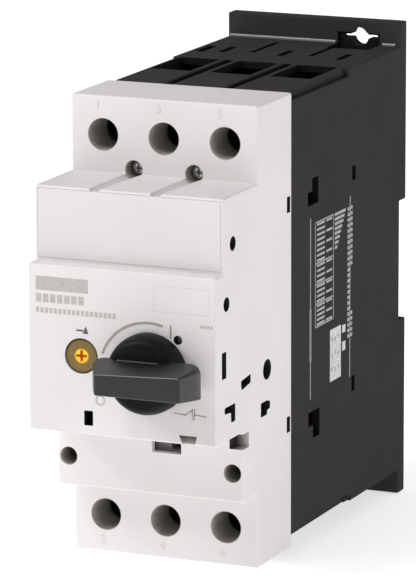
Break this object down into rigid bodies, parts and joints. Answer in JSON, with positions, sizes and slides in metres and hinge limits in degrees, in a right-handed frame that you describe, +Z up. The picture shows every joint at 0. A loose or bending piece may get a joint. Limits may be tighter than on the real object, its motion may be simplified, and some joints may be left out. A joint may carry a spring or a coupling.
{
  "type": "motor protection breaker",
  "caption": "Motor protection breaker: a white stepped housing on a black base with a rotary handle, setting dial, box terminals and a rail clip.",
  "frame": {"origin": "middle of the floor of the DIN-rail channel on the back", "axes": "+Y points to the panel or rail behind the breaker, +Z up towards the line terminals, +X to the right seen from the front"},
  "size_m": [0.055, 0.16, 0.14],
  "materials": {
    "white_housing": "moulded, fine texture",
    "black_casing": "moulded, fine texture",
    "handle_black": "moulded, satin",
    "dial_brass": "bronze-coloured, satin",
    "grey_plastic": "moulded",
    "copper": "bare copper",
    "steel": "zinc plated",
    "bimetal": "rolled strip"
  },
  "bodies": {
    "casing": {"base_casing": "black_casing", "front_housing": "white_housing", "mechanism_frame": "steel", "housing_screw_upper_left": "steel", "housing_screw_upper_right": "steel", "housing_screw_lower_left": "steel", "housing_screw_lower_right": "steel", "line_contact_bar_1": "copper", "line_contact_bar_2": "copper", "line_contact_bar_3": "copper", "load_contact_bar_1": "copper", "load_contact_bar_2": "copper", "load_contact_bar_3": "copper", "load_terminal_bar_1": "copper", "load_terminal_bar_2": "copper", "load_terminal_bar_3": "copper", "trip_coil_1": "copper", "trip_coil_2": "copper", "trip_coil_3": "copper", "arc_chute_upper_1": "steel", "arc_chute_upper_2": "steel", "arc_chute_upper_3": "steel", "arc_chute_lower_1": "steel", "arc_chute_lower_2": "steel", "arc_chute_lower_3": "steel", "contact_spring_1": "steel", "contact_spring_2": "steel", "contact_spring_3": "steel", "din_clip_spring": "steel"},
    "blank_plate": {"accessory_blank_plate": "white_housing"},
    "handle": {"rotary_handle": "handle_black", "handle_shaft": "grey_plastic"},
    "dial": {"setting_dial": "dial_brass"},
    "test_slide": {"test_slide": "grey_plastic"},
    "trip_slide": {"trip_slide": "grey_plastic"},
    "latch": {"latch_lever": "steel"},
    "carrier": {"contact_carrier": "grey_plastic"},
    "rail_clip": {"din_clip": "grey_plastic"},
    "bridge_1": {"contact_bridge_1": "copper"},
    "plunger_1": {"trip_plunger_1": "steel"},
    "bimetal_1": {"bimetal_strip_1": "bimetal"},
    "line_screw_1": {"line_terminal_screw_1": "steel"},
    "line_clamp_1": {"line_box_clamp_1": "steel"},
    "load_screw_1": {"load_terminal_screw_1": "steel"},
    "load_clamp_1": {"load_box_clamp_1": "steel"},
    "bridge_2": {"contact_bridge_2": "copper"},
    "plunger_2": {"trip_plunger_2": "steel"},
    "bimetal_2": {"bimetal_strip_2": "bimetal"},
    "line_screw_2": {"line_terminal_screw_2": "steel"},
    "line_clamp_2": {"line_box_clamp_2": "steel"},
    "load_screw_2": {"load_terminal_screw_2": "steel"},
    "load_clamp_2": {"load_box_clamp_2": "steel"},
    "bridge_3": {"contact_bridge_3": "copper"},
    "plunger_3": {"trip_plunger_3": "steel"},
    "bimetal_3": {"bimetal_strip_3": "bimetal"},
    "line_screw_3": {"line_terminal_screw_3": "steel"},
    "line_clamp_3": {"line_box_clamp_3": "steel"},
    "load_screw_3": {"load_terminal_screw_3": "steel"},
    "load_clamp_3": {"load_box_clamp_3": "steel"}
  },
  "joints": [
    {"name": "handle_turn", "type": "hinge", "parent": "casing", "child": "handle", "pos_m": [0.0088, -0.136, -0.0057], "axis": [0, 1, 0], "range_deg": [0, 90]},
    {"name": "carrier_travel", "type": "slide", "parent": "casing", "child": "carrier", "axis": [0, -1, 0], "range_m": [0, 0.0045]},
    {"name": "bridge_travel_1", "type": "slide", "parent": "casing", "child": "bridge_1", "axis": [0, -1, 0], "range_m": [0, 0.0041], "deforming": ["contact_spring_1"]},
    {"name": "bridge_travel_2", "type": "slide", "parent": "casing", "child": "bridge_2", "axis": [0, -1, 0], "range_m": [0, 0.0041], "deforming": ["contact_spring_2"]},
    {"name": "bridge_travel_3", "type": "slide", "parent": "casing", "child": "bridge_3", "axis": [0, -1, 0], "range_m": [0, 0.0041], "deforming": ["contact_spring_3"]},
    {"name": "dial_turn", "type": "hinge", "parent": "casing", "child": "dial", "pos_m": [-0.01185, -0.136, -0.00285], "axis": [0, 1, 0], "range_deg": [-120, 120]},
    {"name": "test_push", "type": "slide", "parent": "casing", "child": "test_slide", "axis": [-1, 0, 0], "range_m": [0, 0.0015], "stiffness_N_per_m": 400},
    {"name": "trip_slide_travel", "type": "slide", "parent": "casing", "child": "trip_slide", "axis": [-1, 0, 0], "range_m": [0, 0.0016]},
    {"name": "latch_tilt", "type": "hinge", "parent": "casing", "child": "latch", "pos_m": [0.0088, -0.111, 0.0035], "axis": [1, 0, 0], "range_deg": [0, 8], "stiffness_Nm_per_rad": 0.05},
    {"name": "plunger_strike_1", "type": "slide", "parent": "casing", "child": "plunger_1", "axis": [0, -1, 0], "range_m": [0, 0.0025], "stiffness_N_per_m": 200},
    {"name": "bimetal_bend_1", "type": "hinge", "parent": "casing", "child": "bimetal_1", "pos_m": [-0.0122, -0.0495, -0.0282], "axis": [0, 0, 1], "range_deg": [-2.5, 0], "stiffness_Nm_per_rad": 0.5},
    {"name": "plunger_strike_2", "type": "slide", "parent": "casing", "child": "plunger_2", "axis": [0, -1, 0], "range_m": [0, 0.0025], "stiffness_N_per_m": 200},
    {"name": "bimetal_bend_2", "type": "hinge", "parent": "casing", "child": "bimetal_2", "pos_m": [0.0058, -0.0495, -0.0282], "axis": [0, 0, 1], "range_deg": [-2.5, 0], "stiffness_Nm_per_rad": 0.5},
    {"name": "plunger_strike_3", "type": "slide", "parent": "casing", "child": "plunger_3", "axis": [0, -1, 0], "range_m": [0, 0.0025], "stiffness_N_per_m": 200},
    {"name": "bimetal_bend_3", "type": "hinge", "parent": "casing", "child": "bimetal_3", "pos_m": [0.0238, -0.0495, -0.0282], "axis": [0, 0, 1], "range_deg": [-2.5, 0], "stiffness_Nm_per_rad": 0.5},
    {"name": "line_screw_turn_1", "type": "hinge", "parent": "casing", "child": "line_screw_1", "pos_m": [-0.018, -0.076, 0.0523], "axis": [0, 1, 0], "range_deg": [0, 1800]},
    {"name": "line_clamp_travel_1", "type": "slide", "parent": "casing", "child": "line_clamp_1", "axis": [0, -1, 0], "range_m": [0, 0.005]},
    {"name": "line_screw_turn_2", "type": "hinge", "parent": "casing", "child": "line_screw_2", "pos_m": [0, -0.076, 0.0523], "axis": [0, 1, 0], "range_deg": [0, 1800]},
    {"name": "line_clamp_travel_2", "type": "slide", "parent": "casing", "child": "line_clamp_2", "axis": [0, -1, 0], "range_m": [0, 0.005]},
    {"name": "line_screw_turn_3", "type": "hinge", "parent": "casing", "child": "line_screw_3", "pos_m": [0.018, -0.076, 0.0523], "axis": [0, 1, 0], "range_deg": [0, 1800]},
    {"name": "line_clamp_travel_3", "type": "slide", "parent": "casing", "child": "line_clamp_3", "axis": [0, -1, 0], "range_m": [0, 0.005]},
    {"name": "load_screw_turn_1", "type": "hinge", "parent": "casing", "child": "load_screw_1", "pos_m": [-0.018, -0.076, -0.0543], "axis": [0, 1, 0], "range_deg": [0, 1800]},
    {"name": "load_clamp_travel_1", "type": "slide", "parent": "casing", "child": "load_clamp_1", "axis": [0, -1, 0], "range_m": [0, 0.005]},
    {"name": "load_screw_turn_2", "type": "hinge", "parent": "casing", "child": "load_screw_2", "pos_m": [0, -0.076, -0.0543], "axis": [0, 1, 0], "range_deg": [0, 1800]},
    {"name": "load_clamp_travel_2", "type": "slide", "parent": "casing", "child": "load_clamp_2", "axis": [0, -1, 0], "range_m": [0, 0.005]},
    {"name": "load_screw_turn_3", "type": "hinge", "parent": "casing", "child": "load_screw_3", "pos_m": [0.018, -0.076, -0.0543], "axis": [0, 1, 0], "range_deg": [0, 1800]},
    {"name": "load_clamp_travel_3", "type": "slide", "parent": "casing", "child": "load_clamp_3", "axis": [0, -1, 0], "range_m": [0, 0.005]},
    {"name": "rail_clip_pull", "type": "slide", "parent": "casing", "child": "rail_clip", "axis": [0, 0, -1], "range_m": [0, 0.0025], "stiffness_N_per_m": 1500, "deforming": ["din_clip_spring"]},
    {"name": "blank_plate_lift", "type": "slide", "parent": "casing", "child": "blank_plate", "axis": [0, -1, 0], "range_m": [0, 0.01]}
  ],
  "couplings": [
    {"joint": "handle_turn", "follows": "carrier_travel", "rad_per_m": 349.07},
    {"joint": "bridge_travel_1", "follows": "carrier_travel", "ratio": 0.88889},
    {"joint": "bridge_travel_2", "follows": "carrier_travel", "ratio": 0.88889},
    {"joint": "bridge_travel_3", "follows": "carrier_travel", "ratio": 0.88889},
    {"joint": "trip_slide_travel", "follows": "test_push", "ratio": 1},
    {"joint": "line_screw_turn_1", "follows": "line_clamp_travel_1", "rad_per_m": 6283.2},
    {"joint": "line_screw_turn_2", "follows": "line_clamp_travel_2", "rad_per_m": 6283.2},
    {"joint": "line_screw_turn_3", "follows": "line_clamp_travel_3", "rad_per_m": 6283.2},
    {"joint": "load_screw_turn_1", "follows": "load_clamp_travel_1", "rad_per_m": 6283.2},
    {"joint": "load_screw_turn_2", "follows": "load_clamp_travel_2", "rad_per_m": 6283.2},
    {"joint": "load_screw_turn_3", "follows": "load_clamp_travel_3", "rad_per_m": 6283.2}
  ]
}
